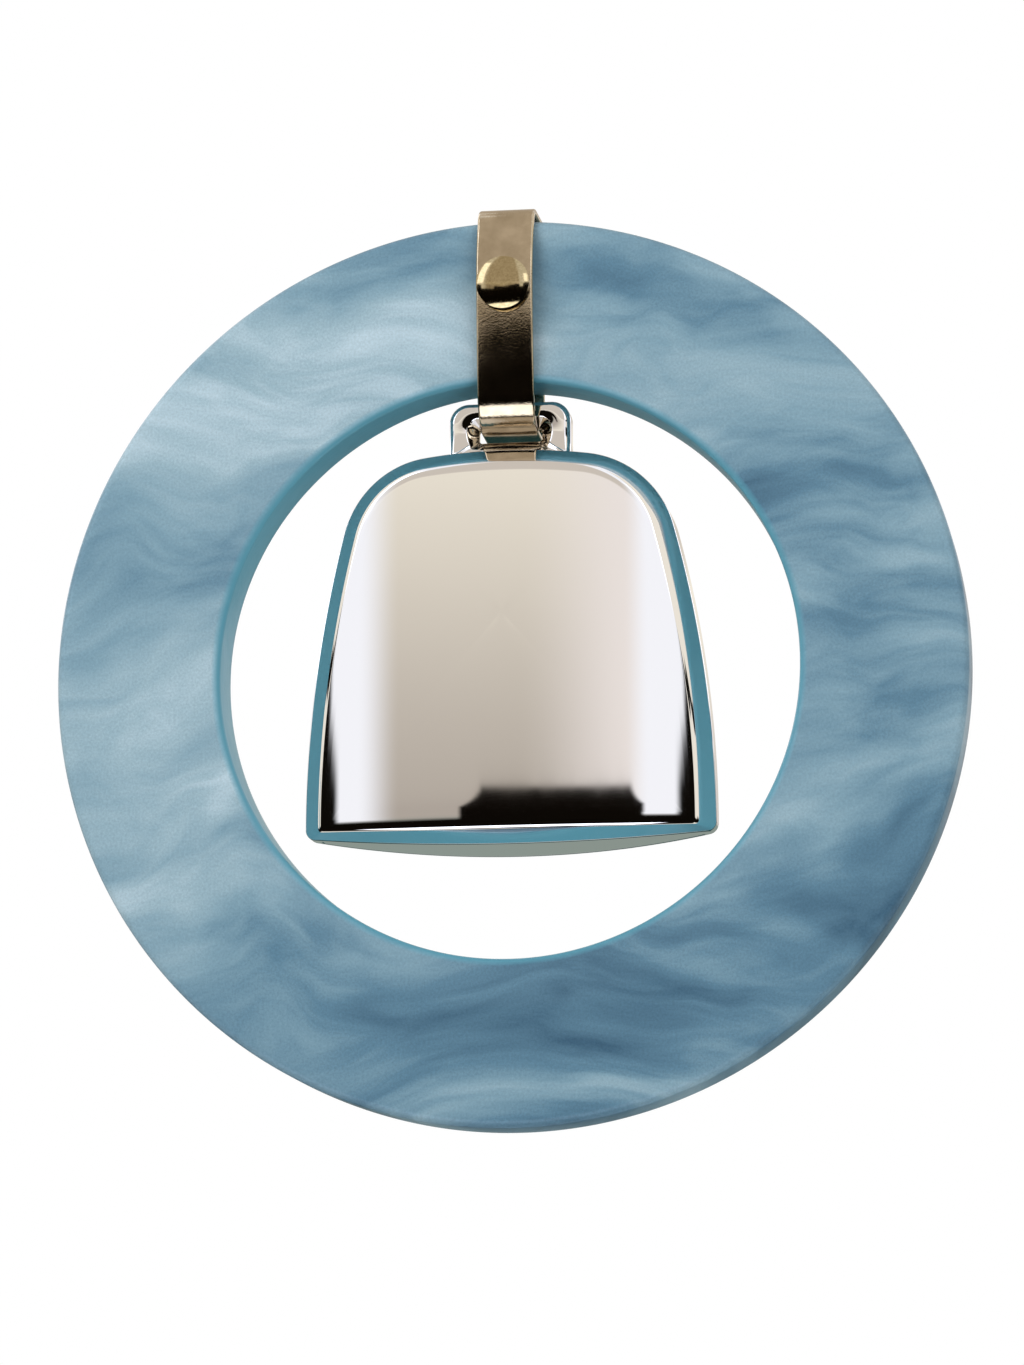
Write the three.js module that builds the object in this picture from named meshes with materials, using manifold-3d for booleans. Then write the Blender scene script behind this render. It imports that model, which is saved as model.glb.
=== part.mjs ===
// Bell ornament: a flat polished rattle bell, hung by a riveted metal strap inside a pearl-blue ring.
// Millimetres, +Z up, +X to the right and +Y to the back. The origin is the hang point, on top of the
// strap where it crosses the ring. All heights below are above the ring's centre, and the whole ornament
// is lowered as one group.

import * as THREE from "three";
import { mergeVertices } from "three/addons/utils/BufferGeometryUtils.js";
import Module from "manifold-3d";

const wasm = await Module();
wasm.setup();

// ---- Driving dimensions ------------------------------------------------------------------------------

const FIT_GAP = 0.03; // between pieces that touch

const RING_OUTER_R = 35;
const RING_INNER_R = 22.25;
const RING_THICKNESS = 5;
const RING_EDGE_R = 0.7;

const STRAP_WIDTH = 4.4;
const STRAP_THICKNESS = 0.5;
const STRAP_SLACK = 0.55; // between the strap and the ring's crown
const STRAP_CORNER_R = 1.3; // centre line, over the ring's outer edge
const STRAP_FRONT_FOLD_R = 2.5; // centre line, under the bell's loop
const STRAP_BACK_FOLD_R = 0.9;
const STRAP_FOLD_DROP = 0.3; // how much lower the fold is at the back than at the front
const STRAP_OVERLAP = [26.6, 32.2]; // heights of the strap's two ends, behind the ring

const RIVET_HEIGHT = 29.55;
const RIVET_SHANK_R = 0.9;
const RIVET_HOLE_R = 1.0;
const RIVET_HEAD = { radius: 2.05, rim: 0.35, dome: 0.85 };
const RIVET_TAIL = { radius: 1.5, rim: 0.1, dome: 0.5 };

const LOOP_BAR_R = 1.0; // half the height of the bar at its top, about which the bell swings
const LOOP_BAR_HEIGHT = 19.95;
const LOOP_HALF_WIDTH = 4.7;
const LOOP_CORNER_R = 1.5;
const LOOP_EDGE = 0.35; // width of the bevel round its outside
const LOOP_HALF_DEPTH = 1.1;
const SLOT_HALF_WIDTH = 2.45;
const SLOT_BOTTOM = 17.9;
const SLOT_CORNER_R = 0.25;
const SLOT_ROUNDING = 0.9; // its edges are drawn in to this radius

const BELL_HALF_WIDTH = 15.75;
const BELL_BOTTOM = -13.75;
const BELL_BOTTOM_R = 113;
const BELL_CORNER_R = 0.8;
const BELL_SIDE_FOOT = -12.05; // the sides are upright here and lean in above it
const BELL_SIDE_R = 88;
const BELL_SHOULDER_START = THREE.MathUtils.degToRad(15.04);
const BELL_SHOULDER_R = 7.5;
const BELL_TOP_R = 60;
const BELL_HALF_DEPTH = 5;
const BELL_FACE_R = 40; // the front and back faces are rolled to this radius
const BEVEL_WIDTH = 1.34;
const BEVEL_DEPTH = 1.5;
const BEVEL_BOTTOM = 1.04; // how far the face stops above the bell's lowest line
const FACE_BOTTOM_R = 300;
const WALL = 0.5;
const BOTTOM_PLATE_HALF_WIDTH = 14.5;

const PELLET_R = 1.5;
const PELLET_PITCH = 3.2;
const PELLET_COUNT = 7;

const QUARTER = Math.PI / 2;

// ---- Materials ---------------------------------------------------------------------------------------

const pearlPlastic = new THREE.MeshStandardMaterial({ color: 0x7f9fb1, roughness: 0.25, metalness: 0.0 });
const polishedSilver = new THREE.MeshStandardMaterial({ color: 0xd8d2c8, roughness: 0.06, metalness: 1.0 });
const satinNickel = new THREE.MeshStandardMaterial({ color: 0xb5a68c, roughness: 0.3, metalness: 1.0 });
const rivetNickel = new THREE.MeshStandardMaterial({ color: 0xb0a080, roughness: 0.12, metalness: 1.0 });
const pelletSteel = new THREE.MeshStandardMaterial({ color: 0x9a9a98, roughness: 0.3, metalness: 1.0 });

// ---- Solids and booleans -----------------------------------------------------------------------------

function solidOf(geometry) {
  const bare = geometry.clone();
  bare.deleteAttribute("normal");
  bare.deleteAttribute("uv");
  const merged = mergeVertices(bare, 1e-4);
  const mesh = new wasm.Mesh({
    numProp: 3,
    vertProperties: merged.attributes.position.array,
    triVerts: new Uint32Array(merged.index.array),
  });
  return new wasm.Manifold(mesh);
}

function geometryOf(solid) {
  const mesh = solid.getMesh();
  const geometry = new THREE.BufferGeometry();
  geometry.setAttribute("position", new THREE.BufferAttribute(mesh.vertProperties, 3));
  geometry.setIndex(new THREE.BufferAttribute(mesh.triVerts, 1));
  geometry.computeVertexNormals();
  return geometry;
}

function namedMesh(name, geometry, material) {
  const mesh = new THREE.Mesh(geometry, material);
  mesh.name = name;
  return mesh;
}

// A closed surface through equal rings of points, each joined to the next and the last to the first.
function torusGeometry(rings) {
  const count = rings[0].length;
  const triangles = [];
  rings.forEach((ring, r) => {
    const start = r * count;
    const nextStart = ((r + 1) % rings.length) * count;
    ring.forEach((point, i) => {
      const next = (i + 1) % count;
      triangles.push(start + i, nextStart + i, start + next);
      triangles.push(start + next, nextStart + i, nextStart + next);
    });
  });
  const geometry = new THREE.BufferGeometry();
  geometry.setAttribute("position", new THREE.Float32BufferAttribute(rings.flat(2), 3));
  geometry.setIndex(triangles);
  return geometry;
}

// A cylinder along Y, for drilling the rivet's hole.
function drill(radius, height) {
  const length = 4 * RING_THICKNESS;
  return solidOf(new THREE.CylinderGeometry(radius, radius, length, 24).translate(0, 0, height));
}

// ---- Curves ------------------------------------------------------------------------------------------

// Points on an arc, from one angle to another, both ends included.
function arc(centreX, centreY, radius, from, to, steps) {
  const points = [];
  for (let i = 0; i <= steps; i++) {
    const angle = from + ((to - from) * i) / steps;
    points.push(new THREE.Vector2(centreX + radius * Math.cos(angle), centreY + radius * Math.sin(angle)));
  }
  return points;
}

// A line through the corners given as [x, y, radius], with each corner rounded to its radius.
function roundedLine(corners, steps) {
  const line = [];
  corners.forEach(([x, y, radius], i) => {
    const corner = new THREE.Vector2(x, y);
    if (!radius) {
      line.push(corner);
      return;
    }
    const before = new THREE.Vector2(...corners[i - 1].slice(0, 2)).sub(corner).normalize();
    const after = new THREE.Vector2(...corners[i + 1].slice(0, 2)).sub(corner).normalize();
    const half = before.angleTo(after) / 2;
    const middle = before.clone().add(after).normalize();
    const centre = corner.clone().addScaledVector(middle, radius / Math.sin(half));
    const start = corner.clone().addScaledVector(before, radius / Math.tan(half)).sub(centre);
    const sweep = Math.PI - 2 * half;
    const turn = Math.sign(after.cross(before)) * sweep;
    for (let k = 0; k <= steps; k++) {
      const swung = start.clone().rotateAround(new THREE.Vector2(), (turn * k) / steps);
      line.push(centre.clone().add(swung));
    }
  });
  return line;
}

// The closed outline of a strip of even thickness along a line.
function stripOutline(line, thickness) {
  const sides = [[], []];
  line.forEach((point, i) => {
    const back = line[Math.max(i - 1, 0)];
    const ahead = line[Math.min(i + 1, line.length - 1)];
    const along = ahead.clone().sub(back).normalize();
    const across = new THREE.Vector2(-along.y, along.x).multiplyScalar(thickness / 2);
    sides[0].push(point.clone().add(across));
    sides[1].push(point.clone().sub(across));
  });
  return [...sides[0], ...sides[1].reverse()];
}

// ---- Ring, strap and rivet ---------------------------------------------------------------------------

function ringGeometry() {
  const halfDepth = RING_THICKNESS / 2;
  const inner = RING_INNER_R + RING_EDGE_R;
  const outer = RING_OUTER_R - RING_EDGE_R;
  const edge = halfDepth - RING_EDGE_R;
  const steps = 3;
  const section = [
    ...arc(outer, -edge, RING_EDGE_R, -QUARTER, 0, steps),
    ...arc(outer, edge, RING_EDGE_R, 0, QUARTER, steps),
    ...arc(inner, edge, RING_EDGE_R, QUARTER, Math.PI, steps),
    ...arc(inner, -edge, RING_EDGE_R, Math.PI, 3 * QUARTER, steps),
  ];
  section.push(section[0].clone());
  const blank = solidOf(new THREE.LatheGeometry(section, 80));
  return geometryOf(blank.subtract(drill(RIVET_HOLE_R, RIVET_HEIGHT)));
}

// Where the strap's layers lie: distances from the ring's middle plane to each layer's centre line.
const legOffset = RING_THICKNESS / 2 + FIT_GAP + STRAP_THICKNESS / 2;
const overlapOffset = legOffset + STRAP_THICKNESS + FIT_GAP;
const barSeatHeight = LOOP_BAR_HEIGHT - LOOP_BAR_R - 2 * FIT_GAP;
const foldHeight = barSeatHeight - STRAP_THICKNESS / 2 + STRAP_FOLD_DROP / 2;
const crownHeight = RING_OUTER_R + STRAP_SLACK + STRAP_THICKNESS / 2;
const hangHeight = crownHeight + STRAP_THICKNESS / 2;

// One strip: it starts behind the ring, passes under the bell's loop, climbs the front, crosses the
// ring's crown and comes down over its own start, where the rivet holds both ends.
function strapGeometry() {
  const [lowEnd, highEnd] = STRAP_OVERLAP;
  const centreLine = roundedLine(
    [
      [legOffset, highEnd],
      [legOffset, foldHeight - STRAP_FOLD_DROP, STRAP_BACK_FOLD_R],
      [-legOffset, foldHeight, STRAP_FRONT_FOLD_R],
      [-legOffset, crownHeight, STRAP_CORNER_R],
      [overlapOffset, crownHeight, STRAP_CORNER_R],
      [overlapOffset, lowEnd],
    ],
    6,
  );
  const shape = new THREE.Shape(stripOutline(centreLine, STRAP_THICKNESS));
  const strip = new THREE.ExtrudeGeometry(shape, { depth: STRAP_WIDTH, bevelEnabled: false });
  const sideways = new THREE.Matrix4().makeBasis(
    new THREE.Vector3(0, 1, 0),
    new THREE.Vector3(0, 0, 1),
    new THREE.Vector3(1, 0, 0),
  );
  strip.applyMatrix4(sideways).translate(-STRAP_WIDTH / 2, 0, 0);
  return geometryOf(solidOf(strip).subtract(drill(RIVET_HOLE_R, RIVET_HEIGHT)));
}

// Half the section of a domed rivet head, from its apex to its seat.
function domeProfile({ radius, rim, dome }, seat, side) {
  const sphereR = (radius * radius + dome * dome) / (2 * dome);
  const spread = Math.asin(radius / sphereR);
  const steps = 6;
  const points = [];
  for (let i = 0; i <= steps; i++) {
    const angle = (spread * i) / steps;
    const rise = rim + dome - sphereR * (1 - Math.cos(angle));
    points.push(new THREE.Vector2(sphereR * Math.sin(angle), side * (seat + rise)));
  }
  points.push(new THREE.Vector2(radius, side * seat), new THREE.Vector2(RIVET_SHANK_R, side * seat));
  points[0].x = 0;
  return points;
}

function rivetGeometry() {
  const frontSeat = legOffset + STRAP_THICKNESS / 2 + FIT_GAP;
  const backSeat = overlapOffset + STRAP_THICKNESS / 2 + FIT_GAP;
  const front = domeProfile(RIVET_HEAD, frontSeat, -1);
  const back = domeProfile(RIVET_TAIL, backSeat, 1).reverse();
  return new THREE.LatheGeometry([...front, ...back], 28);
}

// ---- Bell --------------------------------------------------------------------------------------------

const shoulderCentre = new THREE.Vector2(
  BELL_HALF_WIDTH - BELL_SIDE_R + (BELL_SIDE_R - BELL_SHOULDER_R) * Math.cos(BELL_SHOULDER_START),
  BELL_SIDE_FOOT + (BELL_SIDE_R - BELL_SHOULDER_R) * Math.sin(BELL_SHOULDER_START),
);
const shoulderEnd = Math.acos(shoulderCentre.x / (BELL_TOP_R - BELL_SHOULDER_R));
const topCentreHeight = shoulderCentre.y - (BELL_TOP_R - BELL_SHOULDER_R) * Math.sin(shoulderEnd);

// The bell's outline seen from the front, as arcs that run into each other, from the middle of its top
// down the right side to the middle of its bottom and back up the left side.
function bellOutline({ inset, cornerR, bottom, bottomR }) {
  const sideX = BELL_HALF_WIDTH - inset;
  const cornerX = sideX - cornerR;
  const bottomCentre = bottom + bottomR;
  const cornerZ = bottomCentre - Math.sqrt((bottomR - cornerR) ** 2 - cornerX ** 2);
  const cornerEnd = -Math.acos(cornerX / (bottomR - cornerR));
  const sideCentreX = BELL_HALF_WIDTH - BELL_SIDE_R;
  const right = [
    ...arc(0, topCentreHeight, BELL_TOP_R - inset, QUARTER, shoulderEnd, 3),
    ...arc(...shoulderCentre, BELL_SHOULDER_R - inset, shoulderEnd, BELL_SHOULDER_START, 8).slice(1),
    ...arc(sideCentreX, BELL_SIDE_FOOT, BELL_SIDE_R - inset, BELL_SHOULDER_START, 0, 6).slice(1),
    ...arc(cornerX, cornerZ, cornerR, 0, cornerEnd, 3),
    ...arc(0, bottomCentre, bottomR, cornerEnd, -QUARTER, 7).slice(1),
  ];
  const left = right.slice(1, -1).reverse().map((p) => new THREE.Vector2(-p.x, p.y));
  return [...right, ...left];
}

// Half the bell's depth at a distance from its middle line: both faces are rolled like part of a tube.
function faceDepth(x) {
  return BELL_HALF_DEPTH - BELL_FACE_R + Math.sqrt(BELL_FACE_R ** 2 - x ** 2);
}

// A solid of the bell's outer form, or of the hollow inside walls of the given thickness. Rings of points
// run from the middle of the front face over the bevel and the side wall to the middle of the back face.
function bellForm(wall) {
  const faceInset = wall * Math.tan((QUARTER - Math.atan(BEVEL_WIDTH / BEVEL_DEPTH)) / 2);
  const wallInset = wall * Math.tan(Math.atan(BEVEL_WIDTH / BEVEL_DEPTH) / 2);
  const side = bellOutline({
    inset: wall,
    cornerR: BELL_CORNER_R,
    bottom: BELL_BOTTOM + wall,
    bottomR: BELL_BOTTOM_R,
  });
  const face = bellOutline({
    inset: BEVEL_WIDTH + faceInset,
    cornerR: BELL_CORNER_R / 3,
    bottom: BELL_BOTTOM + BEVEL_BOTTOM + faceInset,
    bottomR: FACE_BOTTOM_R,
  });
  const middle = new THREE.Vector2(0, BELL_SIDE_FOOT + BELL_HALF_WIDTH);
  const shares = [0.3, 0.6, 0.85, 1];
  const faceRings = shares.map((share) =>
    face.map((p) => {
      const q = middle.clone().lerp(p, share);
      return [q.x, wall - faceDepth(q.x), q.y];
    }),
  );
  const sideRing = side.map((p, i) => [p.x, BEVEL_DEPTH + wallInset - faceDepth(face[i].x), p.y]);
  const frontHalf = [...faceRings, sideRing];
  const backHalf = frontHalf.map((ring) => ring.map(([x, y, z]) => [x, -y, z])).reverse();
  const rings = [...frontHalf, ...backHalf];

  const count = face.length;
  const frontPole = rings.length * count;
  const backPole = frontPole + 1;
  const poleDepth = BELL_HALF_DEPTH - wall;
  const vertices = [...rings.flat(), [0, -poleDepth, middle.y], [0, poleDepth, middle.y]];
  const triangles = [];
  for (let i = 0; i < count; i++) {
    const next = (i + 1) % count;
    triangles.push(frontPole, next, i);
    for (let ring = 0; ring < rings.length - 1; ring++) {
      const [a, b] = [ring * count + i, ring * count + next];
      const [c, d] = [b + count, a + count];
      triangles.push(a, b, d, b, c, d);
    }
    const last = (rings.length - 1) * count;
    triangles.push(last + i, last + next, backPole);
  }
  const geometry = new THREE.BufferGeometry();
  geometry.setAttribute("position", new THREE.Float32BufferAttribute(vertices.flat(), 3));
  geometry.setIndex(triangles);
  return solidOf(geometry);
}

// An upright prism over the bottom plate's lens shape, grown by a clearance on every side.
function platePrism(clearance) {
  const reach = BOTTOM_PLATE_HALF_WIDTH + clearance;
  const steps = 12;
  const front = [];
  for (let i = 0; i <= steps; i++) {
    const x = -reach + (2 * reach * i) / steps;
    front.push(new THREE.Vector2(x, BEVEL_DEPTH - clearance - faceDepth(x)));
  }
  const back = front.map((p) => new THREE.Vector2(p.x, -p.y)).reverse();
  const shape = new THREE.Shape([...front, ...back]);
  const height = BELL_HALF_DEPTH;
  const prism = new THREE.ExtrudeGeometry(shape, { depth: height, bevelEnabled: false });
  return solidOf(prism.translate(0, 0, BELL_BOTTOM - height / 2));
}

// A block on one side of the bell's middle plane: -1 is the front and 1 the back.
function halfSpace(side) {
  const size = 4 * BELL_HALF_WIDTH;
  return solidOf(new THREE.BoxGeometry(size, size, size).translate(0, (side * size) / 2, 0));
}

const bellOuter = bellForm(0);
const bellWalls = bellOuter.subtract(bellForm(WALL));

function bellShellGeometry(side) {
  const open = bellWalls.subtract(platePrism(FIT_GAP));
  return geometryOf(open.intersect(halfSpace(side)));
}

function bottomPlateGeometry() {
  return geometryOf(bellWalls.intersect(platePrism(0)));
}

// The section of the loop between a point on its slot and the point beside it on its outline: drawn in
// round towards the slot and bevelled towards the outside. Gives [distance from the slot, y] pairs.
function loopSection(width) {
  const rounding = Math.min(SLOT_ROUNDING, width / 2);
  const steps = 4;
  const side = [];
  for (let i = 1; i <= steps; i++) {
    const angle = (QUARTER * i) / steps;
    side.push([rounding * (1 - Math.cos(angle)), Math.sin(angle)]);
  }
  side.push([width - LOOP_EDGE, 1], [width, 0.6]);
  const front = side.map(([along, depth]) => [along, -depth]);
  return [[0, 0], ...front, ...side.reverse()];
}

// The loop that stands on the bell's top, with the slot through which the strap is folded.
function loopGeometry() {
  const steps = 6;
  const frame = (halfWidth, top, bottom, topR, bottomR) =>
    roundedLine(
      [
        [0, top],
        [halfWidth, top, topR],
        [halfWidth, bottom, bottomR],
        [-halfWidth, bottom, bottomR],
        [-halfWidth, top, topR],
        [0, top],
      ],
      steps,
    ).slice(1);
  const barBottom = LOOP_BAR_HEIGHT - LOOP_BAR_R;
  const foot = topCentreHeight + BELL_TOP_R - 1;
  const slot = frame(SLOT_HALF_WIDTH, barBottom, SLOT_BOTTOM, SLOT_CORNER_R, SLOT_CORNER_R);
  const outline = frame(LOOP_HALF_WIDTH, LOOP_BAR_HEIGHT + LOOP_BAR_R, foot, LOOP_CORNER_R, SLOT_CORNER_R);
  const rings = slot.map((inner, i) => {
    const outward = outline[i].clone().sub(inner);
    const width = outward.length();
    outward.normalize();
    return loopSection(width).map(([along, depth]) => {
      const p = inner.clone().addScaledVector(outward, along);
      return [p.x, depth * LOOP_HALF_DEPTH, p.y];
    });
  });
  const solid = solidOf(torusGeometry(rings));
  return geometryOf(solid.subtract(bellOuter.translate([0, 0, FIT_GAP])));
}

// Height of a pellet's centre when it rests on the curved bottom plate.
function pelletHeight(x) {
  const floorR = BELL_BOTTOM_R - WALL - PELLET_R - 2 * FIT_GAP;
  return BELL_BOTTOM + BELL_BOTTOM_R - Math.sqrt(floorR ** 2 - x ** 2);
}

function bellGroup() {
  const bell = new THREE.Group();
  bell.add(
    namedMesh("bell_front_shell", bellShellGeometry(-1), polishedSilver),
    namedMesh("bell_back_shell", bellShellGeometry(1), polishedSilver),
    namedMesh("bell_bottom_plate", bottomPlateGeometry(), polishedSilver),
    namedMesh("bell_loop", loopGeometry(), polishedSilver),
  );
  for (let i = 0; i < PELLET_COUNT; i++) {
    const x = (i - (PELLET_COUNT - 1) / 2) * PELLET_PITCH;
    const pellet = namedMesh(`pellet_${i + 1}`, new THREE.SphereGeometry(PELLET_R, 14, 10), pelletSteel);
    pellet.position.set(x, 0, pelletHeight(x));
    bell.add(pellet);
  }
  return bell;
}

// ---- The ornament ------------------------------------------------------------------------------------

const rivet = namedMesh("rivet", rivetGeometry(), rivetNickel);
rivet.position.z = RIVET_HEIGHT;

const aboutRingCentre = new THREE.Group();
aboutRingCentre.position.z = -hangHeight;
aboutRingCentre.add(
  namedMesh("ring", ringGeometry(), pearlPlastic),
  namedMesh("strap", strapGeometry(), satinNickel),
  rivet,
  bellGroup(),
);

const ornament = new THREE.Group();
ornament.add(aboutRingCentre);

export default ornament;
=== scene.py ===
"""Looks of the bell ornament: a polished rattle bell that hangs in a pearl-blue ring by a riveted strap.

Shapes are drawn about the ring's centre, in metres: x to the right, y to the back and z up."""

import math

import bpy
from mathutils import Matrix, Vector, noise


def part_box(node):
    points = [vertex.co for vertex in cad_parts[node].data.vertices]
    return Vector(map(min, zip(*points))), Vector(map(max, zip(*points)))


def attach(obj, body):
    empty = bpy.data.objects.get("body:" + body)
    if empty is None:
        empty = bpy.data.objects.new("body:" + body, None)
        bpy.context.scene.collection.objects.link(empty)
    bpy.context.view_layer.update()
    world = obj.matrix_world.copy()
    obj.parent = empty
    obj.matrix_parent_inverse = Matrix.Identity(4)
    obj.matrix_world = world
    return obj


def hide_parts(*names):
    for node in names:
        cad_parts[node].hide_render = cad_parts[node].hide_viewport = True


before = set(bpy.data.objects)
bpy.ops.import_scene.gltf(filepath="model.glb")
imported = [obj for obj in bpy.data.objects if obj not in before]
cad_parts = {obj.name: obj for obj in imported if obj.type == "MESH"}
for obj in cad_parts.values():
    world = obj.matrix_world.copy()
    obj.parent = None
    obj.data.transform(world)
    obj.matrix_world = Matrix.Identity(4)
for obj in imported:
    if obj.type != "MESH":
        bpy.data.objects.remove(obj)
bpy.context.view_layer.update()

MM = 0.001
QUARTER = math.pi / 2
FULL_TURN = 2 * math.pi

# ---- Sizes, in metres. Those the frame holds are read from it. ----------------------------------------

ring_low, ring_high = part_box("ring")
RING_CENTRE = (Vector(ring_low) + Vector(ring_high)) / 2
RING_OUTER_R = (ring_high[0] - ring_low[0]) / 2
RING_HALF_DEPTH = (ring_high[1] - ring_low[1]) / 2
RING_INNER_R = 22.25 * MM
RING_EDGE_R = 0.7 * MM

strap_low, strap_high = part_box("strap")
STRAP_WIDTH = strap_high[0] - strap_low[0]
STRAP_THICKNESS = 0.5 * MM
STRAP_EDGE_R = 0.2 * MM
STRAP_SLACK = 0.55 * MM  # between the strap and the ring's crown
STRAP_CORNER_R = 1.3 * MM
STRAP_FRONT_FOLD_R = 2.5 * MM
STRAP_BACK_FOLD_R = 0.9 * MM
STRAP_FOLD_DROP = 0.3 * MM  # how much lower the fold is at the back than at the front
STRAP_BOW = 0.7 * MM  # how far the front leg stands off the ring
STRAP_BOW_HEIGHT = 30.6 * MM  # where it does so
STRAP_BOW_FADE = 0.8 * MM
STRAP_OVERLAP = (26.6 * MM, 32.2 * MM)
FIT_GAP = 0.03 * MM

RIVET_HEIGHT = 29.55 * MM
RIVET_SHANK_R = 0.9 * MM
RIVET_HOLE_R = 1.0 * MM
RIVET_HEAD = {"radius": 2.05 * MM, "rim": 0.75 * MM, "dome": 0.42 * MM}
DOME_POWER = 2.6  # how flat the rivet's domes are in their middle
RIVET_TAIL = {"radius": 1.5 * MM, "rim": 0.1 * MM, "dome": 0.5 * MM}

LOOP_BAR_R = 1.0 * MM
LOOP_BAR_HEIGHT = 19.95 * MM
LOOP_HALF_WIDTH = 4.7 * MM
LOOP_CORNER_R = 1.5 * MM
LOOP_EDGE = 0.35 * MM  # width of the bevel round its outside
LOOP_HALF_DEPTH = 1.1 * MM
LOOP_FILLET = 0.4 * MM  # how far it spreads where it meets the bell
LOOP_FILLET_FADE = 0.2 * MM
SLOT_HALF_WIDTH = 2.45 * MM
SLOT_BOTTOM = 17.9 * MM
SLOT_CORNER_R = 0.25 * MM
SLOT_CHAMFER = 0.9 * MM
SLOT_LIP = 0.3  # share of the loop's depth that is left upright at the slot

BELL_HALF_WIDTH = 15.75 * MM
BELL_BOTTOM = -13.75 * MM
BELL_BOTTOM_R = 113 * MM
BELL_CORNER_R = 0.8 * MM
BELL_SIDE_FOOT = -12.05 * MM
BELL_SIDE_R = 88 * MM
BELL_SHOULDER_START = math.radians(15.04)
BELL_SHOULDER_R = 7.5 * MM
BELL_TOP_R = 60 * MM
BELL_HALF_DEPTH = 5 * MM
BELL_FACE_R = 40 * MM
BEVEL_WIDTH = 1.34 * MM
BEVEL_DEPTH = 1.5 * MM
BEVEL_BOTTOM = 1.04 * MM
FACE_BOTTOM_R = 300 * MM
FACE_EDGE_R = 0.5 * MM  # roundness where the face meets the bevel
WALL_EDGE_R = 0.45 * MM  # and where the bevel meets the side wall
CURL_ANGLE = math.radians(8)  # the face turns under this far, just above its lower edge
CURL_REACH = 0.56 * MM
WALL = 0.5 * MM
PLATE_HALF_WIDTH = 14.5 * MM

PELLET_COUNT = 7
PELLET_FLATS = 0.02  # depth of the flats, as a share of the radius
PELLET_FLAT_SCALE = 3

# ---- How finely the shapes are divided ----------------------------------------------------------------

RING_STEPS = 360
RIVET_STEPS = 96
HOLE_STEPS = 48
EDGE_STEPS = 8
STRAP_SPACING = 0.3 * MM
BEVEL_SPACING = 0.4 * MM
FACE_ROWS = 40
FACE_CROWDING = 1.7  # above 1, the rows crowd towards the face's edge
WALL_ROWS = (0.35, 0.7, 1)  # the rows down the side wall, as shares of the way to the middle plane

# ---- Mesh helpers -------------------------------------------------------------------------------------


def new_object(name, vertices, faces, material):
    """A smooth-shaded mesh object whose vertices are given about the ring's centre."""
    mesh = bpy.data.meshes.new(name)
    mesh.from_pydata([RING_CENTRE + Vector(v) for v in vertices], [], faces)
    mesh.materials.append(material)
    mesh.polygons.foreach_set("use_smooth", [True] * len(mesh.polygons))
    obj = bpy.data.objects.new(name, mesh)
    bpy.context.collection.objects.link(obj)
    return obj


def bake_modifiers(obj):
    """Replaces the object's mesh by what its modifiers make of it."""
    graph = bpy.context.evaluated_depsgraph_get()
    mesh = bpy.data.meshes.new_from_object(obj.evaluated_get(graph))
    obj.modifiers.clear()
    obj.data = mesh


def grid_faces(rows, columns, wrap_rows=False, wrap_columns=True):
    """Quads between successive rows of points, each row having the same number of points."""
    faces = []
    for r in range(rows if wrap_rows else rows - 1):
        for c in range(columns if wrap_columns else columns - 1):
            below = (r + 1) % rows * columns
            aside = (c + 1) % columns
            faces.append((r * columns + c, below + c, below + aside, r * columns + aside))
    return faces


def arc(centre_x, centre_y, radius, start, end, steps):
    """Points on an arc between two angles, both ends included."""
    angles = [start + (end - start) * i / steps for i in range(steps + 1)]
    return [Vector((centre_x + radius * math.cos(a), centre_y + radius * math.sin(a))) for a in angles]


def rounded_line(corners, arc_steps, spacing=None):
    """Points along a line through corners given as (x, y, radius), each corner rounded to its radius, and
    with the straight parts divided to a spacing if there is one."""
    line = []
    for i, (x, y, radius) in enumerate(corners):
        corner = Vector((x, y))
        if not radius:
            line.append(corner)
            continue
        before = (Vector(corners[i - 1][:2]) - corner).normalized()
        after = (Vector(corners[i + 1][:2]) - corner).normalized()
        half = before.angle(after) / 2
        centre = corner + (before + after).normalized() * (radius / math.sin(half))
        start = corner + before * (radius / math.tan(half)) - centre
        turn = math.copysign(math.pi - 2 * half, after.cross(before))
        for k in range(arc_steps + 1):
            angle = turn * k / arc_steps
            cos, sin = math.cos(angle), math.sin(angle)
            line.append(centre + Vector((start.x * cos - start.y * sin, start.x * sin + start.y * cos)))
    if spacing is None:
        return line
    filled = [line[0]]
    for a, b in zip(line, line[1:]):
        pieces = max(1, round((b - a).length / spacing))
        filled += [a.lerp(b, (k + 1) / pieces) for k in range(pieces)]
    return filled


def lathe(section, steps):
    """Rows of points of a section, given as (radius, y), turned about the Y axis."""
    rows = []
    for radius, y in section:
        turns = [FULL_TURN * i / steps for i in range(steps)]
        rows.append([(radius * math.cos(t), y, radius * math.sin(t)) for t in turns])
    return rows


def drill(obj, radius, height):
    """Cuts the rivet's hole, front to back."""
    reach = 4 * RING_HALF_DEPTH
    rows = lathe([(radius, -reach), (radius, reach)], HOLE_STEPS)
    vertices = [Vector(p) + Vector((0, 0, height)) for row in rows for p in row]
    ends = [tuple(range(HOLE_STEPS - 1, -1, -1)), tuple(range(HOLE_STEPS, 2 * HOLE_STEPS))]
    faces = grid_faces(len(rows), HOLE_STEPS) + ends
    cutter = new_object("cutter", vertices, [f[::-1] for f in faces], obj.data.materials[0])
    cut = obj.modifiers.new("hole", "BOOLEAN")
    cut.operation = "DIFFERENCE"
    cut.solver = "EXACT"
    cut.object = cutter
    bake_modifiers(obj)
    bpy.data.objects.remove(cutter)
    obj.data.set_sharp_from_angle(angle=math.radians(40))


# ---- Ring, strap and rivet ----------------------------------------------------------------------------


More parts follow.
